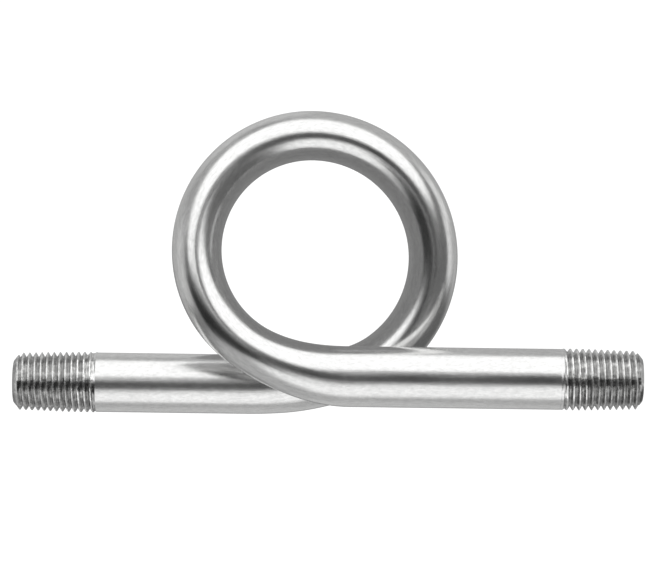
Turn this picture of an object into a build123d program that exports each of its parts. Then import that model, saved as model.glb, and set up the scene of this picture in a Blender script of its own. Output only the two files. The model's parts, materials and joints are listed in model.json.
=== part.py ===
"""Coiled (pigtail) steam siphon for a pressure gauge, in millimetres.

One length of pipe: threaded end, straight leg, one full turn of loop, straight leg, threaded end.
The origin is the centre of the process end's face. +X runs along the process leg towards the loop,
+Z points up through the loop, and the gauge leg crosses in front of the process leg, on the -Y side.
"""

from build123d import *
import math
import os

# Pipe, 1/4 inch nominal, schedule 80
PIPE_RADIUS = 13.716 / 2
WALL = 3.02
BORE_RADIUS = PIPE_RADIUS - WALL

# Straight legs, each measured from its end face to where the bend starts
PROCESS_LEG_LENGTH = 53.8
GAUGE_LEG_LENGTH = 65.8

# Loop: each arc is (centreline radius, degrees turned), and each is tangent to the one before it
BEND_ARCS = ((100.0, 11.7), (27.8, 168.3), (26.1, 150.0), (44.0, 30.0))
CROSSOVER = 15.6  # the gauge leg's axis lies this far in front of the process leg's
LEAD_EASE = 0.3  # share of the loop over which the sideways lead starts, and again over which it stops

# Bending flattens the pipe: in_plane is across the bend, and across_plane is along the loop's own axis
FLAT_IN_PLANE_RADIUS = 11.26 / 2
FLAT_ACROSS_PLANE_RADIUS = 15.4 / 2
FLATTEN_STARTS = 8.0  # length of loop that is still round after the process leg
FLATTEN_LENGTH = 24.0  # length over which the round pipe becomes the flattened one
SECTIONS_PER_RAMP = 6
SECTIONS_BETWEEN = 18

# Taper thread, 1/4-18 NPT
THREADS_PER_INCH = 18
PITCH = 25.4 / THREADS_PER_INCH
RADIUS_PER_LENGTH = 1 / 32  # a taper of 1 in 16 on the diameter
PITCH_RADIUS_AT_FACE = 12.126 / 2
THREAD_DEPTH = 1.0
FLANK_DEGREES = 30.0
PROCESS_THREAD_LENGTH = 19.1
GAUGE_THREAD_LENGTH = 17.9
CREST_LIMIT_RADIUS = 13.8 / 2  # of the stock the crests are cut from, a little proud of the pipe
STOCK_TAPER = 0.002  # radius gained per length by that stock, as turned
RUN_OUT_LENGTH = 1.1  # the grooves rise to the plain pipe over this length
ROOT_OVERLAP = 0.08  # how deep the ridge's base is sunk into the core it stands on
FACE_RADIUS = 4.87  # outer radius of the flat end face, inside the lead chamfer
CHAMFER_RISE = 1.25  # radius gained per length along the lead chamfer

ARC_LENGTHS = [radius * math.radians(turn) for radius, turn in BEND_ARCS]
LOOP_LENGTH = sum(ARC_LENGTHS)


def lead_share(share):
    """Share of the sideways crossover done at this share of the loop's length, eased at both ends."""
    if share > 0.5:
        return 1 - lead_share(1 - share)
    slope = 1 / (1 - LEAD_EASE)
    if share > LEAD_EASE:
        return slope * (share - LEAD_EASE / 2)
    return slope / 2 * (share - LEAD_EASE / math.pi * math.sin(math.pi * share / LEAD_EASE))


def in_plane_place(distance):
    """X, Z and heading of the centreline after this length of loop, seen from the front."""
    x, z, heading = PROCESS_LEG_LENGTH, 0.0, 0.0
    for (radius, turn), length in zip(BEND_ARCS, ARC_LENGTHS):
        ahead = heading + math.radians(turn) * min(distance / length, 1)
        x += radius * (math.sin(ahead) - math.sin(heading))
        z -= radius * (math.cos(ahead) - math.cos(heading))
        heading = ahead
        distance -= length
        if distance <= 0:
            break
    return x, z, heading


def centreline(distance):
    """Point of the loop's centreline after this length of loop."""
    x, z, _ = in_plane_place(distance)
    return Vector(x, -CROSSOVER * lead_share(distance / LOOP_LENGTH), z)


def section_plane(distance):
    """Plane square to the centreline, with X along the loop's own axis and Y in the plane of the bend."""
    step = 0.01
    before = centreline(max(distance - step, 0))
    after = centreline(min(distance + step, LOOP_LENGTH))
    _, _, heading = in_plane_place(distance)
    along = after - before
    if distance in (0, LOOP_LENGTH):
        along = Vector(1, 0, 0)
    inward = Vector(-math.sin(heading), 0, math.cos(heading))
    return Plane(origin=centreline(distance), x_dir=inward.cross(along), z_dir=along)


def smooth_step(value):
    value = min(max(value, 0), 1)
    return value * value * (3 - 2 * value)


def flattening(distance):
    """0 where the pipe is round and 1 where it is fully flattened."""
    from_process = (distance - FLATTEN_STARTS) / FLATTEN_LENGTH
    from_gauge = (LOOP_LENGTH - distance) / FLATTEN_LENGTH
    return smooth_step(min(from_process, from_gauge))


def loop_section(distance, inset):
    """Oval of the pipe's outside, or of its bore when inset by the wall."""
    share = flattening(distance)
    across = PIPE_RADIUS + (FLAT_ACROSS_PLANE_RADIUS - PIPE_RADIUS) * share
    in_plane = PIPE_RADIUS + (FLAT_IN_PLANE_RADIUS - PIPE_RADIUS) * share
    return section_plane(distance) * Ellipse(across - inset, in_plane - inset)


def loop_stations():
    """Lengths along the loop at which it is sectioned, closer together where the section changes."""
    ramp_start = FLATTEN_STARTS
    ramp_end = FLATTEN_STARTS + FLATTEN_LENGTH
    back_start = LOOP_LENGTH - FLATTEN_LENGTH
    rising = [ramp_start + FLATTEN_LENGTH * i / SECTIONS_PER_RAMP for i in range(SECTIONS_PER_RAMP)]
    middle = [ramp_end + (back_start - ramp_end) * i / SECTIONS_BETWEEN for i in range(SECTIONS_BETWEEN)]
    falling = [back_start + FLATTEN_LENGTH * i / SECTIONS_PER_RAMP for i in range(SECTIONS_PER_RAMP + 1)]
    return [0.0, ramp_start / 2] + rising + middle + falling[:-1] + [LOOP_LENGTH]


def make_loop():
    stations = loop_stations()
    outside = loft([loop_section(distance, 0) for distance in stations])
    inside = loft([loop_section(distance, WALL) for distance in stations])
    return outside - inside


def make_leg(thread_length, leg_length):
    """Plain pipe along +Z, from the end of its thread to the bend."""
    ring = Circle(PIPE_RADIUS) - Circle(BORE_RADIUS)
    return Pos(0, 0, thread_length) * extrude(ring, amount=leg_length - thread_length)


def thread_radius(z, from_pitch_line):
    """Radius of a point of the thread's profile: its height above the pitch line, on the taper."""
    return PITCH_RADIUS_AT_FACE + from_pitch_line + z * RADIUS_PER_LENGTH


def make_ridge_turn(start):
    """One turn of the helical ridge, from this height, as four helical faces and two caps."""
    half_depth = THREAD_DEPTH / 2
    lean = math.tan(math.radians(FLANK_DEGREES))
    cone = math.degrees(math.atan(RADIUS_PER_LENGTH))
    base_height = -half_depth - ROOT_OVERLAP
    base_half_width = PITCH / 4 - base_height * lean
    crest_half_width = PITCH / 4 - half_depth * lean
    outline = (
        (-base_half_width, base_height),
        (-crest_half_width, half_depth),
        (crest_half_width, half_depth),
        (base_half_width, base_height),
    )
    helices = []
    for shift, height in outline:
        z = start + shift
        helices.append(Edge.make_helix(PITCH, PITCH, thread_radius(z, height), (0, 0, z), (0, 0, 1), cone))
    faces = []
    for first, second in zip(helices, helices[1:] + helices[:1]):
        faces.append(Face.make_surface_from_curves(first, second))
    for end in (0, 1):
        faces.append(Face(Wire.make_polygon([helix @ end for helix in helices])))
    return Solid(Shell(faces))


def make_ridge(thread_length):
    """The helical ridge turn by turn, from before the end face to past the run-out."""
    turns = math.ceil(thread_length / PITCH) + 2
    return [make_ridge_turn((turn - 1.5) * PITCH) for turn in range(turns)]


def make_core(thread_length):
    """The tapered root of the thread, which rises to the plain pipe at its inner end."""
    run_out = thread_length - RUN_OUT_LENGTH
    half_depth = THREAD_DEPTH / 2
    outline = Polyline(
        (0, 0),
        (thread_radius(0, -half_depth), 0),
        (thread_radius(run_out, -half_depth), run_out),
        (PIPE_RADIUS, thread_length),
        (0, thread_length),
        close=True,
    )
    return revolve(Plane.XZ * make_face(outline), Axis.Z)


def make_blank(thread_length):
    """Outline that the threaded end is trimmed to: chamfered at its face, and limited to the crests."""
    chamfer_length = (CREST_LIMIT_RADIUS - FACE_RADIUS) / CHAMFER_RISE
    inner_radius = CREST_LIMIT_RADIUS + (thread_length - chamfer_length) * STOCK_TAPER
    outline = Polyline(
        (0, 0),
        (FACE_RADIUS, 0),
        (CREST_LIMIT_RADIUS, chamfer_length),
        (inner_radius, thread_length),
        (0, thread_length),
        close=True,
    )
    return revolve(Plane.XZ * make_face(outline), Axis.Z)


def make_threaded_end(thread_length):
    """Threaded end along +Z, with its flat face at z = 0."""
    bore = Pos(0, 0, thread_length / 2) * Cylinder(BORE_RADIUS, 2 * thread_length)
    threaded = make_core(thread_length).fuse(*make_ridge(thread_length))
    return (threaded & make_blank(thread_length)) - bore


def main():
    loop_end = centreline(LOOP_LENGTH)
    process = Plane(origin=(0, 0, 0), x_dir=(0, 0, 1), z_dir=(1, 0, 0))
    gauge_face = loop_end + Vector(GAUGE_LEG_LENGTH, 0, 0)
    gauge = Plane(origin=gauge_face, x_dir=(0, 0, 1), z_dir=(-1, 0, 0))
    nodes = {
        "process_thread": process.location * make_threaded_end(PROCESS_THREAD_LENGTH),
        "process_leg": process.location * make_leg(PROCESS_THREAD_LENGTH, PROCESS_LEG_LENGTH),
        "siphon_loop": make_loop(),
        "gauge_leg": gauge.location * make_leg(GAUGE_THREAD_LENGTH, GAUGE_LEG_LENGTH),
        "gauge_thread": gauge.location * make_threaded_end(GAUGE_THREAD_LENGTH),
    }
    os.makedirs("parts", exist_ok=True)
    for name, shape in nodes.items():
        export_step(shape, f"parts/{name}.step")
    print("gauge end face", gauge_face, "overall", gauge_face.X)


main()
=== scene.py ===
"""Studio scene of a coiled steam siphon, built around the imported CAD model. Everything is in metres."""

import json
import math

import bpy
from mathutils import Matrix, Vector, noise


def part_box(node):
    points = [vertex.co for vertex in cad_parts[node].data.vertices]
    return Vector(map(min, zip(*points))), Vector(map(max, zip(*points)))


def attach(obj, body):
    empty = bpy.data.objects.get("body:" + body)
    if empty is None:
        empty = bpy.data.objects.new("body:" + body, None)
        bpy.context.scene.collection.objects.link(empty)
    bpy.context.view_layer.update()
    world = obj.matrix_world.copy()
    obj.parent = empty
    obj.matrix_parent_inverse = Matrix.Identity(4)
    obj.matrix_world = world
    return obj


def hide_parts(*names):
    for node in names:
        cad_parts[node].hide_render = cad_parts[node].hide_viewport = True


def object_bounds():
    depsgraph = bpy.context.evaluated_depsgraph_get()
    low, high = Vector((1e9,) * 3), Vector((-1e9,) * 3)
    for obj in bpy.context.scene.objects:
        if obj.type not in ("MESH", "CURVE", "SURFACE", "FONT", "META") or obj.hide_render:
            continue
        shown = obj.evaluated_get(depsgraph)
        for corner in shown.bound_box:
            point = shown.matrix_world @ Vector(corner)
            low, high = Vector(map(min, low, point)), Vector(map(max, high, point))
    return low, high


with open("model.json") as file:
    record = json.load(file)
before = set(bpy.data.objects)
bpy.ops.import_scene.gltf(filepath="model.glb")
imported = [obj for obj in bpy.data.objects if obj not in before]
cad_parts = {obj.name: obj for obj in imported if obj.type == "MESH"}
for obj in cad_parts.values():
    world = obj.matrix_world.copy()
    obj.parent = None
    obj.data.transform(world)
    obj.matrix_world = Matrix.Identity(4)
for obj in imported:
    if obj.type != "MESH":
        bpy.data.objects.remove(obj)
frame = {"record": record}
cad_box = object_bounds()

MM = 0.001
mounts = {mount["name"]: mount for mount in frame["record"]["mounts"]}

# ---------------------------------------------------------------- pipe, from the frame
BORE_RADIUS = mounts["process_bore"]["dims"]["r_mm"] * MM
PIPE_RADIUS = mounts["process_leg_clamp"]["dims"]["r_mm"] * MM
WALL = PIPE_RADIUS - BORE_RADIUS
PROCESS_LEG_LENGTH = mounts["process_bore"]["dims"]["length_mm"] * MM
GAUGE_LEG_LENGTH = mounts["gauge_bore"]["dims"]["length_mm"] * MM
GAUGE_FACE = Vector(mounts["gauge_thread"]["pos_m"])
PROCESS_THREAD_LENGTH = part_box("process_leg")[0].x
GAUGE_THREAD_LENGTH = GAUGE_FACE.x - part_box("gauge_leg")[1].x
CROSSOVER = -GAUGE_FACE.y

# ---------------------------------------------------------------- loop, the same path as the CAD's
BEND_ARCS = ((100.0 * MM, 11.7), (27.8 * MM, 168.3), (26.1 * MM, 150.0), (44.0 * MM, 30.0))
LEAD_EASE = 0.3
FLAT_IN_PLANE_RADIUS = 11.26 * MM / 2
FLAT_ACROSS_PLANE_RADIUS = 15.4 * MM / 2
FLATTEN_STARTS = 8.0 * MM
FLATTEN_LENGTH = 24.0 * MM
ARC_LENGTHS = [radius * math.radians(turn) for radius, turn in BEND_ARCS]
LOOP_LENGTH = sum(ARC_LENGTHS)
PIPE_LENGTH = PROCESS_LEG_LENGTH + LOOP_LENGTH + GAUGE_LEG_LENGTH

# ---------------------------------------------------------------- thread, 1/4-18 taper
PITCH = 25.4 * MM / 18
RADIUS_PER_LENGTH = 1 / 32
PITCH_RADIUS_AT_FACE = 12.126 * MM / 2
THREAD_DEPTH = 1.0 * MM
FLANK = math.radians(30.0)
CREST_LIMIT_RADIUS = 13.8 * MM / 2
STOCK_TAPER = 0.002
RUN_OUT_LENGTH = 1.1 * MM
PROCESS_RUN_OUT_DRIFT = 2.2 * MM  # the grooves run out this much sooner along the top than underneath
GAUGE_RUN_OUT_DRIFT = 0.3 * MM
CREST_WEAR = 0.02 * MM  # height burnished off the crests, which leaves them wider
CREST_ROUNDING = 0.09 * MM  # height over which a crest's corner is rounded off
ROOT_ROUNDING = 0.1 * MM
FACE_RADIUS = 4.87 * MM
CHAMFER_RISE = 1.25
BORE_EDGE_BREAK = 0.3 * MM  # deburred edge at the mouth of the bore
THREAD_SHARP_ANGLE = math.radians(32)  # edges sharper than this are shaded as edges

# ---------------------------------------------------------------- torn surface of the cut thread
TEAR_DEPTH = 0.034 * MM  # how far it wanders in and out
TEAR_LENGTH = 0.35 * MM  # along the pipe
TEAR_TURNS = 5  # how often it wanders in a turn, as the radius of the circle walked through the noise
COARSE_TEAR_LENGTH = 1.1 * MM
COARSE_TEAR_TURNS = 11
FINE_TEAR_SHARE = 0.6
TEAR_FADE_AT_FACE = 0.8 * MM
TEAR_FADE_AT_PIPE = 0.6 * MM

# ---------------------------------------------------------------- ring left on the gauge leg by turning
TOOL_MARK_OFFSET = 0.5 * MM  # from the thread
TOOL_MARK_HALF_WIDTH = 0.22 * MM
TOOL_MARK_DEPTH = 0.03 * MM

# ---------------------------------------------------------------- mesh density
AROUND_PIPE = 128
AROUND_THREAD = 192
LEG_STEP = 2.0 * MM
LOOP_STEP = 0.9 * MM


def smooth_step(value):
    value = min(max(value, 0.0), 1.0)
    return value * value * (3 - 2 * value)


def lead_share(share):
    """Share of the sideways crossover done at this share of the loop's length."""
    if share > 0.5:
        return 1 - lead_share(1 - share)
    slope = 1 / (1 - LEAD_EASE)
    if share > LEAD_EASE:
        return slope * (share - LEAD_EASE / 2)
    return slope / 2 * (share - LEAD_EASE / math.pi * math.sin(math.pi * share / LEAD_EASE))


def in_plane_place(distance):
    """X, Z and heading of the centreline after this length of loop, seen from the front."""
    x, z, heading = PROCESS_LEG_LENGTH, 0.0, 0.0
    for (radius, turn), length in zip(BEND_ARCS, ARC_LENGTHS):
        ahead = heading + math.radians(turn) * min(distance / length, 1)
        x += radius * (math.sin(ahead) - math.sin(heading))
        z -= radius * (math.cos(ahead) - math.cos(heading))
        heading = ahead
        distance -= length
        if distance <= 0:
            break
    return x, z, heading


def centreline(along):
    """Point and heading of the pipe's centreline at this length from the process end's face."""
    if along <= PROCESS_LEG_LENGTH:
        return Vector((along, 0, 0)), 0.0
    distance = along - PROCESS_LEG_LENGTH
    if distance >= LOOP_LENGTH:
        x, z, _ = in_plane_place(LOOP_LENGTH)
        return Vector((x + distance - LOOP_LENGTH, -CROSSOVER, z)), 0.0
    x, z, heading = in_plane_place(distance)
    return Vector((x, -CROSSOVER * lead_share(distance / LOOP_LENGTH), z)), heading


def section_axes(along):
    """Centre of the pipe's section, with unit vectors across the plane of the bend and into the bend."""
    step = 0.01 * MM
    centre, heading = centreline(along)
    forward = (centreline(along + step)[0] - centreline(along - step)[0]).normalized()
    inward = Vector((-math.sin(heading), 0, math.cos(heading)))
    across = inward.cross(forward).normalized()
    return centre, across, forward.cross(across)


def flattening(along):
    """0 where the pipe is round and 1 where bending has flattened it fully."""
    distance = along - PROCESS_LEG_LENGTH
    from_process = (distance - FLATTEN_STARTS) / FLATTEN_LENGTH
    from_gauge = (LOOP_LENGTH - distance) / FLATTEN_LENGTH
    return smooth_step(min(from_process, from_gauge))


def tool_mark(along):
    """Depth of the ring that the turning tool left on the gauge leg."""
    middle = PIPE_LENGTH - GAUGE_THREAD_LENGTH - TOOL_MARK_OFFSET
    return TOOL_MARK_DEPTH * smooth_step(1 - abs(along - middle) / TOOL_MARK_HALF_WIDTH)


def tool_mark_stations():
    """Places along the pipe that the ring needs, from one side of it to the other."""
    middle = PIPE_LENGTH - GAUGE_THREAD_LENGTH - TOOL_MARK_OFFSET
    return [middle + TOOL_MARK_HALF_WIDTH * i / 4 for i in range(-4, 5)]


def pipe_point(station, angle):
    """Point of the pipe's outside at this angle, or of its bore when the station is inset by the wall."""
    axes, flat, inset = station
    centre, across, inward = axes
    across_radius = PIPE_RADIUS + (FLAT_ACROSS_PLANE_RADIUS - PIPE_RADIUS) * flat - inset
    in_plane_radius = PIPE_RADIUS + (FLAT_IN_PLANE_RADIUS - PIPE_RADIUS) * flat - inset
    sideways = across * (across_radius * math.cos(angle))
    return centre + sideways + inward * (in_plane_radius * math.sin(angle))


class PieceMesh:
    """Vertices, faces and one normal per face corner, gathered before the mesh is made."""

    def __init__(self):
        self.points = []
        self.normals = []
        self.straight = []
        self.faces = []
        self.corner_normals = []

    def add_point(self, point, normal, straight):
        self.points.append(point)
        self.normals.append(normal)
        self.straight.append(straight)
        return len(self.points) - 1

    def add_face(self, corners, normal=None):
        """A face over these points, unless it has shrunk to a line. One normal can serve every corner."""
        kept = [c for i, c in enumerate(corners) if c != corners[i - 1]]
        if len(kept) < 3:
            return
        self.faces.append(kept)
        self.corner_normals += [normal or self.normals[c] for c in kept]

    def make(self, name, own_normals):
        mesh = bpy.data.meshes.new(name)
        mesh.from_pydata(self.points, [], self.faces)
        place = mesh.attributes.new("straight_pipe", "FLOAT_VECTOR", "POINT")
        place.data.foreach_set("vector", [value for point in self.straight for value in point])
        mesh.polygons.foreach_set("use_smooth", [True] * len(mesh.polygons))
        if own_normals:
            mesh.normals_split_custom_set(self.corner_normals)
        else:
            mesh.set_sharp_from_angle(angle=THREAD_SHARP_ANGLE)
        piece = bpy.data.objects.new(name, mesh)
        bpy.context.scene.collection.objects.link(piece)
        return piece


def add_wall(piece, stations, inset, outward):
    """Rings of points along the pipe, joined into its outer skin or its bore. Returns the rings."""
    step = 0.02 * MM
    nudge = 0.01
    turn = 2 * math.pi / AROUND_PIPE
    rings = []
    for along in stations:
        here, before, after = [
            (section_axes(place), flattening(place), inset + (tool_mark(place) if outward else 0.0))
            for place in (along, along - step, along + step)
        ]
        ring = []
        for i in range(AROUND_PIPE):
            angle = i * turn
            point = pipe_point(here, angle)
            forward = pipe_point(after, angle) - pipe_point(before, angle)
            sideways = pipe_point(here, angle + nudge) - pipe_point(here, angle - nudge)
            normal = sideways.cross(forward).normalized() * (1 if outward else -1)
            radius = PIPE_RADIUS - inset
            straight = (along, radius * math.cos(angle), radius * math.sin(angle))
            ring.append(piece.add_point(point, normal, straight))
        rings.append(ring)
    for ring, after in zip(rings, rings[1:]):
        for i in range(AROUND_PIPE):
            corners = [ring[i - 1], ring[i], after[i], after[i - 1]]
            piece.add_face(corners if outward else corners[::-1])
    return rings


def add_end(piece, outer, inner, facing):
    """Flat ring that closes the wall between an outer and an inner ring of points."""
    for i in range(len(outer)):
        corners = [outer[i], outer[i - 1], inner[i - 1], inner[i]]
        normal = (piece.points[corners[1]] - piece.points[corners[0]]).cross(
            piece.points[corners[2]] - piece.points[corners[1]]
        )
        piece.add_face(corners if normal.dot(facing) > 0 else corners[::-1], facing)


def make_pipe(name, start, end, step):
    """A stretch of pipe from one length along it to another, closed at both ends."""
    count = math.ceil((end - start) / step)
    stations = [start + (end - start) * i / count for i in range(count + 1)]
    stations += [along for along in tool_mark_stations() if start < along < end]
    stations.sort()
    piece = PieceMesh()
    outside = add_wall(piece, stations, 0.0, True)
    inside = add_wall(piece, stations, WALL, False)
    for index, side in ((0, -1), (-1, 1)):
        _, across, inward = section_axes(stations[index])
        add_end(piece, outside[index], inside[index], across.cross(inward) * side)
    return piece.make(name, own_normals=True)


# ---------------------------------------------------------------- threaded ends
def crest_half_width():
    return PITCH / 4 - (THREAD_DEPTH / 2 - CREST_WEAR) * math.tan(FLANK)


def root_half_width():
    return PITCH / 4 - THREAD_DEPTH / 2 * math.tan(FLANK)


def profile_offsets():
    """Places of the vertices across one thread, from the middle of one root to just before the next."""
    crest = crest_half_width()
    root = PITCH / 2 - root_half_width()
    rounded_crest = CREST_ROUNDING * math.tan(FLANK)
    rounded_root = ROOT_ROUNDING * math.tan(FLANK)
    one_side = [crest - rounded_crest, crest, crest + rounded_crest * 0.5, crest + rounded_crest]
    one_side += [(crest + root) / 2, root - rounded_root, root, (root + PITCH / 2) / 2]
    return [-PITCH / 2] + [-place for place in reversed(one_side)] + [0.0] + one_side


def limit_height(height, limit, rounding):
    """The height held below this limit, with the corner rounded."""
    below = limit - height
    if below > rounding:
        return height
    return limit - max(below + rounding, 0) ** 2 / (4 * rounding)


def thread_radius(along, turn, length, drift):
    """Radius of the cut thread at this length from the end face and this share of a turn from the top."""
    from_crest = abs((along / PITCH - turn) % 1 - 0.5) * PITCH
    half_depth = THREAD_DEPTH / 2
    crest_height = half_depth - CREST_WEAR
    height = crest_height - (from_crest - crest_half_width()) / math.tan(FLANK)
    height = limit_height(height, crest_height, CREST_ROUNDING)
    height = -limit_height(-height, half_depth, ROOT_ROUNDING)
    pitch_line = PITCH_RADIUS_AT_FACE + along * RADIUS_PER_LENGTH
    ridge = pitch_line + height
    run_out_length = RUN_OUT_LENGTH + drift * (1 + math.cos(2 * math.pi * turn)) / 2
    core_start = length - run_out_length
    core_base = PITCH_RADIUS_AT_FACE - half_depth + core_start * RADIUS_PER_LENGTH
    run_out = (along - core_start) / run_out_length
    core = core_base + (PIPE_RADIUS - core_base) * run_out if run_out > 0 else 0.0
    chamfer = FACE_RADIUS + along * CHAMFER_RISE
    return min(max(ridge, core), chamfer, CREST_LIMIT_RADIUS + along * STOCK_TAPER)


def tear(along, angle, length):
    """Small wander of the cut surface, stretched along the thread."""
    fade = smooth_step(along / TEAR_FADE_AT_FACE) * smooth_step((length - along) / TEAR_FADE_AT_PIPE)
    around = Vector((0, math.cos(angle), math.sin(angle)))
    fine = around * TEAR_TURNS + Vector((along / TEAR_LENGTH, 0, 0))
    coarse = around * COARSE_TEAR_TURNS + Vector((along / COARSE_TEAR_LENGTH, 0, 0))
    return TEAR_DEPTH * fade * (noise.noise(fine) * FINE_TEAR_SHARE + noise.noise(coarse))


def make_threaded_end(name, face, forward, length, drift):
    """Threaded end whose flat face is centred on this point, with forward pointing into the pipe."""
    up = Vector((0, 0, 1))
    side = forward.cross(up)
    offsets = profile_offsets()
    per_pitch = len(offsets)
    count = (math.ceil(length / PITCH) + 2) * per_pitch
    piece = PieceMesh()

    def place(along, radius, angle):
        around = up * math.cos(angle) + side * math.sin(angle)
        straight = (along, radius * math.cos(angle), radius * math.sin(angle))
        return piece.add_point(face + forward * along + around * radius, around, straight)

    columns = []
    for j in range(AROUND_THREAD):
        turn = j / AROUND_THREAD
        angle = 2 * math.pi * turn
        column, start, end = [], None, None
        for m in range(-per_pitch, count):
            along = PITCH * (m // per_pitch + 0.5 + turn) + offsets[m % per_pitch]
            if along <= 0:
                if start is None:
                    start = place(0.0, FACE_RADIUS, angle)
                column.append(start)
            elif along >= length:
                if end is None:
                    end = place(length, thread_radius(length, turn, length, drift), angle)
                column.append(end)
            else:
                radius = thread_radius(along, turn, length, drift) + tear(along, angle, length)
                column.append(place(along, radius, angle))
        columns.append(column)
    columns.append(columns[0][per_pitch:] + [columns[0][-1]] * per_pitch)
    for left, right in zip(columns, columns[1:]):
        for m in range(len(left) - 1):
            piece.add_face([left[m], left[m + 1], right[m + 1], right[m]])
    bore = []
    for along, radius in (
        (0.0, BORE_RADIUS + BORE_EDGE_BREAK),
        (BORE_EDGE_BREAK, BORE_RADIUS),
        (length, BORE_RADIUS),
    ):
        bore.append([place(along, radius, 2 * math.pi * j / AROUND_THREAD) for j in range(AROUND_THREAD)])
    first = [column[0] for column in columns[:-1]]
    last = [column[-1] for column in columns[:-1]]
    for outer, inner in zip([first] + bore, bore + [last]):
        for j in range(AROUND_THREAD):
            piece.add_face([outer[j - 1], outer[j], inner[j], inner[j - 1]])
    return piece.make(name, own_normals=False)


# ---------------------------------------------------------------- materials
WARMTH = 0.993  # steel's blue next to its red and green
# The thread's base colour runs from a painted highlight on the crests to painted shade in the roots.
CREST_PAINTED_HIGHLIGHT_GREY = 0.95
ROOT_PAINTED_SHADE_GREY = 0.42


def new_material(name):
    material = bpy.data.materials.new(name)
    material.use_nodes = True
    return material, material.node_tree.nodes, material.node_tree.links


def make_noise(nodes, links, source, stretch, scale, detail, roughness=0.5):
    """Noise over the pipe as if it were straight, stretched by these factors along and around it."""
    mapping = nodes.new("ShaderNodeMapping")
    mapping.inputs["Scale"].default_value = stretch
    links.new(source, mapping.inputs["Vector"])
    texture = nodes.new("ShaderNodeTexNoise")
    texture.inputs["Scale"].default_value = scale
    texture.inputs["Detail"].default_value = detail
    texture.inputs["Roughness"].default_value = roughness
    links.new(mapping.outputs["Vector"], texture.inputs["Vector"])
    return texture.outputs["Fac"]


def make_range(nodes, links, value, low, high, from_low=0.3, from_high=0.7):
    """The noise value stretched over this range."""
    node = nodes.new("ShaderNodeMapRange")
    node.inputs["From Min"].default_value = from_low
    node.inputs["From Max"].default_value = from_high
    node.inputs["To Min"].default_value = low
    node.inputs["To Max"].default_value = high
    links.new(value, node.inputs["Value"])
    return node.outputs["Result"]


def make_grey(nodes, links, value, at_zero, at_one):
    """Slightly warm grey between two brightnesses, by a value from 0 to 1."""
    mix = nodes.new("ShaderNodeMix")
    mix.data_type = "RGBA"
    mix.inputs["A"].default_value = (at_zero, at_zero, at_zero * WARMTH, 1)
    mix.inputs["B"].default_value = (at_one, at_one, at_one * WARMTH, 1)
    links.new(value, mix.inputs["Factor"])
    return mix.outputs["Result"]


def add_bump(nodes, links, height, distance, strength, below=None):
    bump = nodes.new("ShaderNodeBump")
    bump.inputs["Distance"].default_value = distance
    bump.inputs["Strength"].default_value = strength
    links.new(height, bump.inputs["Height"])
    if below is not None:
        links.new(below, bump.inputs["Normal"])
    return bump.outputs["Normal"]


def straight_place(nodes):
    place = nodes.new("ShaderNodeAttribute")
    place.attribute_name = "straight_pipe"
    return place.outputs["Vector"]


def drawn_steel():
    """Bright drawn stainless pipe: fine grain along it, faint mottling, and slightly uneven gloss."""
    material, nodes, links = new_material("drawn_steel")
    shader = nodes["Principled BSDF"]
    shader.inputs["Metallic"].default_value = 1.0
    place = straight_place(nodes)
    grain = make_noise(nodes, links, place, stretch=(0.05, 1, 1), scale=2200, detail=3)
    mottle = make_noise(nodes, links, place, stretch=(0.4, 1, 1), scale=1700, detail=3, roughness=0.6)
    cloud = make_noise(nodes, links, place, stretch=(0.3, 1, 1), scale=260, detail=3)
    tone = make_grey(nodes, links, make_range(nodes, links, mottle, 0, 1), at_zero=0.72, at_one=0.86)
    links.new(tone, shader.inputs["Base Color"])
    links.new(make_range(nodes, links, cloud, 0.2, 0.27), shader.inputs["Roughness"])
    normal = add_bump(nodes, links, mottle, distance=0.012 * MM, strength=0.6)
    normal = add_bump(nodes, links, grain, distance=0.01 * MM, strength=0.9, below=normal)
    links.new(normal, shader.inputs["Normal"])
    return material


def painted_groove_shade(nodes, links, place):
    """Mask of the painted shade in the thread's roots and the painted highlight on its crests: 0 on the
    crests and 1 in the roots, from the height over the pitch line.
    """
    parts = nodes.new("ShaderNodeSeparateXYZ")
    links.new(place, parts.inputs["Vector"])
    section = nodes.new("ShaderNodeCombineXYZ")
    links.new(parts.outputs["Y"], section.inputs["Y"])
    links.new(parts.outputs["Z"], section.inputs["Z"])
    radius = nodes.new("ShaderNodeVectorMath")
    radius.operation = "LENGTH"
    links.new(section.outputs["Vector"], radius.inputs[0])
    taper = add_math(nodes, links, "MULTIPLY", parts.outputs["X"], RADIUS_PER_LENGTH)
    height = add_math(nodes, links, "SUBTRACT", radius.outputs["Value"], taper)
    crest = PITCH_RADIUS_AT_FACE + THREAD_DEPTH / 2
    return make_range(nodes, links, height, 1, 0, crest - THREAD_DEPTH, crest)


def cut_steel():
    """Machined thread: torn into fine streaks that run round with the cut, with painted shade darkening
    the grooves and a painted highlight lightening the crests.
    """
    material, nodes, links = new_material("cut_steel")
    shader = nodes["Principled BSDF"]
    shader.inputs["Metallic"].default_value = 1.0
    place = straight_place(nodes)
    streak = make_noise(nodes, links, place, stretch=(1, 0.12, 0.12), scale=4200, detail=3)
    mottle = make_noise(nodes, links, place, stretch=(1, 0.5, 0.5), scale=1400, detail=3, roughness=0.6)
    # Painted shade in the roots and a painted highlight on the crests, made uneven by random mottling.
    groove_shade = painted_groove_shade(nodes, links, place)
    wear = make_range(nodes, links, mottle, -0.5, 0.6)
    depth = add_math(nodes, links, "ADD", groove_shade, wear)
    # Base colour: the painted highlight grey on the crests, the painted shade grey in the roots.
    tone = make_grey(nodes, links, make_range(nodes, links, depth, 0, 1, 0, 1), CREST_PAINTED_HIGHLIGHT_GREY, ROOT_PAINTED_SHADE_GREY)
    links.new(tone, shader.inputs["Base Color"])
    links.new(make_range(nodes, links, streak, 0.14, 0.26), shader.inputs["Roughness"])
    normal = add_bump(nodes, links, streak, distance=0.015 * MM, strength=0.8)
    normal = add_bump(nodes, links, mottle, distance=0.02 * MM, strength=0.4, below=normal)
    links.new(normal, shader.inputs["Normal"])
    return material


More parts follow.
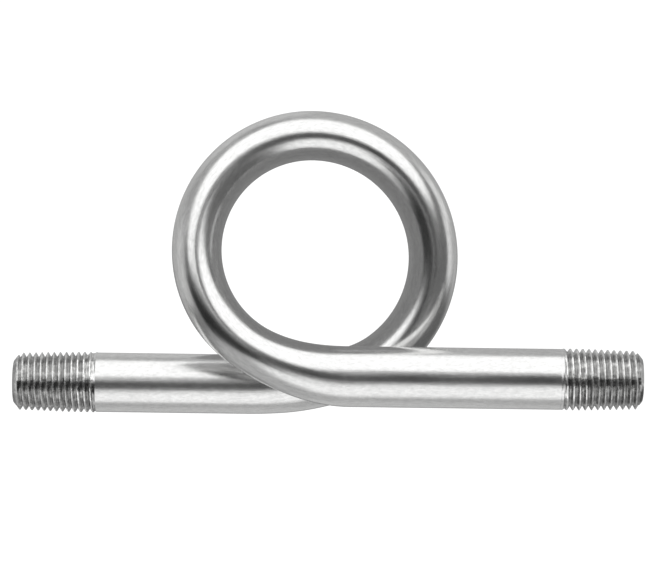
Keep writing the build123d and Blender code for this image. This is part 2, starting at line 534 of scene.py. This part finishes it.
def stage_white():
    """Pale matt floor."""
    material, nodes, _ = new_material("stage_white")
    shader = nodes["Principled BSDF"]
    shader.inputs["Base Color"].default_value = (0.9, 0.9, 0.9, 1)
    shader.inputs["Roughness"].default_value = 0.9
    shader.inputs["Emission Color"].default_value = (1, 1, 1, 1)
    shader.inputs["Emission Strength"].default_value = FLOOR_GLOW
    return material


# ---------------------------------------------------------------- pieces
def add_piece(piece, node, material):
    piece.data.materials.append(material)
    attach(piece, "root")
    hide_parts(node)


def make_siphon():
    pipe = drawn_steel()
    thread = cut_steel()
    loop_end = PROCESS_LEG_LENGTH + LOOP_LENGTH
    stretches = (
        ("process_leg", PROCESS_THREAD_LENGTH, PROCESS_LEG_LENGTH, LEG_STEP),
        ("siphon_loop", PROCESS_LEG_LENGTH, loop_end, LOOP_STEP),
        ("gauge_leg", loop_end, PIPE_LENGTH - GAUGE_THREAD_LENGTH, LEG_STEP),
    )
    for node, start, end, step in stretches:
        add_piece(make_pipe(node + "_pipe", start, end, step), node, pipe)
    ends = (
        ("process_thread", Vector((0, 0, 0)), 1, PROCESS_THREAD_LENGTH, PROCESS_RUN_OUT_DRIFT),
        ("gauge_thread", GAUGE_FACE, -1, GAUGE_THREAD_LENGTH, GAUGE_RUN_OUT_DRIFT),
    )
    for node, face, side, length, drift in ends:
        piece = make_threaded_end(node + "_cut", face, Vector((side, 0, 0)), length, drift)
        add_piece(piece, node, thread)


# ---------------------------------------------------------------- studio
CAMERA_PLACE = Vector((71.5, -657.6, 21.05)) * MM
CAMERA_LENS = 157.7
CAMERA_ROLL = -0.75
FLOOR_DROP = 150 * MM
FLOOR_HALF_SIZE = 3.0
FLOOR_GLOW = 0.45
SHADE_CARD_RADIUS = 29 * MM
SHADE_CARD_GAP = 1.5 * MM  # behind the rearmost point of the pipe
SHADE_CARD_BRIGHTNESS = 0.25
SHADE_CORE_RADIUS = 6 * MM
SHADE_CORE_REACH = (-19.5 * MM, 4 * MM)  # along Y, from in front of the coil to its back
SHADE_CORE_BRIGHTNESS = 0.22


def make_camera():
    data = bpy.data.cameras.new("camera")
    data.lens = CAMERA_LENS
    data.sensor_width = 36
    camera = bpy.data.objects.new("camera", data)
    camera.location = CAMERA_PLACE
    camera.rotation_euler = (math.radians(90), math.radians(CAMERA_ROLL), 0)
    bpy.context.scene.collection.objects.link(camera)
    bpy.context.scene.camera = camera


def make_floor():
    size = FLOOR_HALF_SIZE
    height = cad_box[0].z - FLOOR_DROP
    mesh = bpy.data.meshes.new("floor")
    corners = [(-size, -size, height), (size, -size, height), (size, size, height), (-size, size, height)]
    mesh.from_pydata(corners, [], [(0, 1, 2, 3)])
    floor = bpy.data.objects.new("floor", mesh)
    floor.data.materials.append(stage_white())
    floor.visible_glossy = False
    bpy.context.scene.collection.objects.link(floor)


def round_outline(radius, y, count=64):
    """Points of a circle round the middle of the coil, in the plane of the coil."""
    low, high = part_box("siphon_loop")
    middle = (low + high) / 2
    angles = [2 * math.pi * i / count for i in range(count)]
    return [(middle.x + radius * math.cos(a), y, middle.z + radius * math.sin(a)) for a in angles]


def make_shade(name, points, faces, brightness):
    """Dark, faintly glowing thing that only the steel sees: painted shade in its reflections. It stands in
    for what was near the coil.
    """
    material, nodes, _ = new_material(name)
    shader = nodes["Principled BSDF"]
    shader.inputs["Base Color"].default_value = (0, 0, 0, 1)
    shader.inputs["Specular IOR Level"].default_value = 0
    shader.inputs["Emission Color"].default_value = (1, 1, 1, 1)
    shader.inputs["Emission Strength"].default_value = brightness
    mesh = bpy.data.meshes.new(name)
    mesh.from_pydata(points, [], faces)
    shade = bpy.data.objects.new(name, mesh)
    shade.data.materials.append(material)
    shade.visible_camera = False
    shade.visible_diffuse = False
    shade.visible_shadow = False
    bpy.context.scene.collection.objects.link(shade)


def make_shades():
    """A round card just behind the coil, and a core on the coil's axis. They paint shade into the
    reflections on its inner rim.
    """
    card = round_outline(SHADE_CARD_RADIUS, cad_box[1].y + SHADE_CARD_GAP)
    make_shade("shade_card", card, [tuple(range(len(card)))], SHADE_CARD_BRIGHTNESS)
    front, back = [round_outline(SHADE_CORE_RADIUS, y) for y in SHADE_CORE_REACH]
    count = len(front)
    sides = [((i - 1) % count, i) for i in range(count)]
    faces = [(first, second, count + second, count + first) for first, second in sides]
    make_shade("shade_core", front + back, faces, SHADE_CORE_BRIGHTNESS)


# Light that the steel reflects, later cards over earlier ones. Each card's numbers are the azimuths of its
# two sides, from the camera's side (0) towards +X (90), the elevations of its foot and top, and the
# softness of its edges, all in degrees, then its brightness.
AMBIENT = 0.48
CARDS = (
    ("lit wall, left rear", -192, -132, 26, 60, 12, 0.6),
    ("dim wall, left", -124, -70, 20, 56, 12, 0.38),
    ("dim wall, high on the left", -150, -100, 54, 76, 12, 0.3),
    ("dim wall, rear right", 136, 200, 0, 26, 14, 0.42),
    ("dark band behind, to the left", -200, -152, -26, 2, 12, 0.24),
    ("dark band behind, to the right", 152, 200, -26, 2, 12, 0.28),
    ("lit floor behind, to the left", -192, -166, -80, -30, 10, 0.6),
    ("lit floor behind, to the right", 168, 192, -80, -30, 10, 0.6),
    ("shade low on the left", -164, -62, -38, -20, 12, 0.2),
    ("dark floor, right", 36, 152, -64, -12, 14, 0.13),
    ("dark room, front", -68, 84, -27, 14, 8, 0.15),
    ("gap beside the softbox", 62, 97, -8, 40, 8, 0.16),
    ("lit strip, left", -118, -84, -20, 14, 10, 0.62),
    ("lit strip, low on the right", 87, 114, -14, 14, 7, 0.8),
    ("lit strip, high on the right", 99, 128, 10, 33, 8, 0.84),
)
SOFTBOX_ELEVATION = 48  # the big overhead softbox: where it is centred, and its half sizes as tangents
SOFTBOX_CENTRE = (0.22, 0.11)
SOFTBOX_HALF = (1.5, 0.98)
SOFTBOX_CORNERS = 2.6  # 2 makes the outline an ellipse, and more makes it squarer
SOFTBOX_SOFTNESS = 0.17
SOFTBOX_BRIGHTNESS = 1.3
TABLE_CENTRE = (0.05, 1.08)  # the lit white table in front: sideways and forward, in units of its drop
TABLE_HALF = (0.56, 0.9)
TABLE_CORNERS = 4.0
TABLE_SOFTNESS = 0.15
TABLE_BRIGHTNESS = 1.16
EDGE_ON = 0.02  # a panel fades out from here, where it is seen almost edge on
CLEARLY_SEEN = 0.1
FRONT_CARDS = (  # laid over the softbox and the table
    ("foot of the softbox, to the left", -50, -24, 5, 28, 9, 1.25),
    ("black cloth, left of the camera", -76, -8, -38, -4, 8, 0.02),
    ("raised edge of the table", 0, 7, -30, -19, 5, 0.75),
    ("camera's own reflection", -6, 6, -9, 24, 9, 0.05),
    ("camera's stand", 3, 20, -16, 15, 9, 0.05),
)
WHITE_BACKDROP = 1.1


def add_math(nodes, links, operation, first, second=None):
    node = nodes.new("ShaderNodeMath")
    node.operation = operation
    for socket, value in zip(node.inputs, (first, second)):
        if isinstance(value, bpy.types.NodeSocket):
            links.new(value, socket)
        elif value is not None:
            socket.default_value = value
    return node.outputs["Value"]


def add_step(nodes, links, value, low, high):
    """Smooth rise from 0 to 1 while the value goes from low to high, or fall if low is the larger."""
    node = nodes.new("ShaderNodeMapRange")
    node.interpolation_type = "SMOOTHSTEP"
    node.inputs["From Min"].default_value = min(low, high)
    node.inputs["From Max"].default_value = max(low, high)
    node.inputs["To Min"].default_value = 0 if low < high else 1
    node.inputs["To Max"].default_value = 1 if low < high else 0
    links.new(value, node.inputs["Value"])
    return node.outputs["Result"]


def add_window(nodes, links, value, low, high, soft):
    """1 between low and high, with edges this soft."""
    rise = add_step(nodes, links, value, low - soft / 2, low + soft / 2)
    fall = add_step(nodes, links, value, high + soft / 2, high - soft / 2)
    return add_math(nodes, links, "MULTIPLY", rise, fall)


def add_layer(nodes, links, below, mask, brightness):
    mix = nodes.new("ShaderNodeMix")
    links.new(mask, mix.inputs["Factor"])
    mix.inputs["B"].default_value = brightness
    if isinstance(below, float):
        mix.inputs["A"].default_value = below
    else:
        links.new(below, mix.inputs["A"])
    return mix.outputs["Result"]


def add_dot(nodes, links, direction, axis):
    node = nodes.new("ShaderNodeVectorMath")
    node.operation = "DOT_PRODUCT"
    node.inputs[1].default_value = axis
    links.new(direction, node.inputs[0])
    return node.outputs["Value"]


def add_panel(nodes, links, direction, axes, centre, half, corners, soft):
    """Mask of a flat panel with rounded corners, square to the first of these axes."""
    facing, right, up = axes
    depth = add_dot(nodes, links, direction, facing)
    in_front = add_step(nodes, links, depth, EDGE_ON, CLEARLY_SEEN)
    depth = add_math(nodes, links, "MAXIMUM", depth, EDGE_ON)
    reach = []
    for axis, middle, size in ((right, centre[0], half[0]), (up, centre[1], half[1])):
        place = add_math(nodes, links, "DIVIDE", add_dot(nodes, links, direction, axis), depth)
        place = add_math(nodes, links, "SUBTRACT", place, middle)
        place = add_math(nodes, links, "ABSOLUTE", add_math(nodes, links, "DIVIDE", place, size))
        reach.append(add_math(nodes, links, "POWER", place, corners))
    outline = add_math(nodes, links, "POWER", add_math(nodes, links, "ADD", *reach), 1 / corners)
    inside = add_step(nodes, links, outline, 1 + soft, 1 - soft)
    return add_math(nodes, links, "MULTIPLY", inside, in_front)


def add_card(nodes, links, below, azimuth, elevation, card):
    _, left, right, low, high, soft, brightness = card
    across = add_window(nodes, links, azimuth, left, right, soft)
    upright = add_window(nodes, links, elevation, low, high, soft)
    return add_layer(nodes, links, below, add_math(nodes, links, "MULTIPLY", across, upright), brightness)


def make_studio_light():
    """Soft light from all round: an overhead softbox, a lit table, and lighter and darker cards."""
    world = bpy.data.worlds.new("studio")
    world.use_nodes = True
    nodes, links = world.node_tree.nodes, world.node_tree.links
    direction = nodes.new("ShaderNodeTexCoord").outputs["Generated"]
    to_right = add_dot(nodes, links, direction, (1, 0, 0))
    to_camera = add_dot(nodes, links, direction, (0, -1, 0))
    upward = add_dot(nodes, links, direction, (0, 0, 1))
    azimuth = add_math(nodes, links, "DEGREES", add_math(nodes, links, "ARCTAN2", to_right, to_camera))
    elevation = add_math(nodes, links, "DEGREES", add_math(nodes, links, "ARCSINE", upward))
    light = AMBIENT
    for card in CARDS:
        light = add_card(nodes, links, light, azimuth, elevation, card)
    tilt = math.radians(SOFTBOX_ELEVATION)
    softbox_axes = (
        (0, -math.cos(tilt), math.sin(tilt)),
        (1, 0, 0),
        (0, math.sin(tilt), math.cos(tilt)),
    )
    table_axes = ((0, 0, -1), (1, 0, 0), (0, -1, 0))
    softbox = (softbox_axes, SOFTBOX_CENTRE, SOFTBOX_HALF, SOFTBOX_CORNERS, SOFTBOX_SOFTNESS)
    table = (table_axes, TABLE_CENTRE, TABLE_HALF, TABLE_CORNERS, TABLE_SOFTNESS)
    for panel, brightness in ((softbox, SOFTBOX_BRIGHTNESS), (table, TABLE_BRIGHTNESS)):
        light = add_layer(nodes, links, light, add_panel(nodes, links, direction, *panel), brightness)
    for card in FRONT_CARDS:
        light = add_card(nodes, links, light, azimuth, elevation, card)
    around = nodes["Background"]
    links.new(light, around.inputs["Strength"])
    around.inputs["Color"].default_value = (1, 1, 1, 1)
    backdrop = nodes.new("ShaderNodeBackground")
    backdrop.inputs["Color"].default_value = (1, 1, 1, 1)
    backdrop.inputs["Strength"].default_value = WHITE_BACKDROP
    ray = nodes.new("ShaderNodeLightPath")
    choice = nodes.new("ShaderNodeMixShader")
    links.new(ray.outputs["Is Camera Ray"], choice.inputs["Fac"])
    links.new(around.outputs["Background"], choice.inputs[1])
    links.new(backdrop.outputs["Background"], choice.inputs[2])
    links.new(choice.outputs["Shader"], nodes["World Output"].inputs["Surface"])
    bpy.context.scene.world = world


make_camera()
make_siphon()
make_floor()
make_shades()
make_studio_light()
bpy.context.scene.view_settings.view_transform = "Standard"
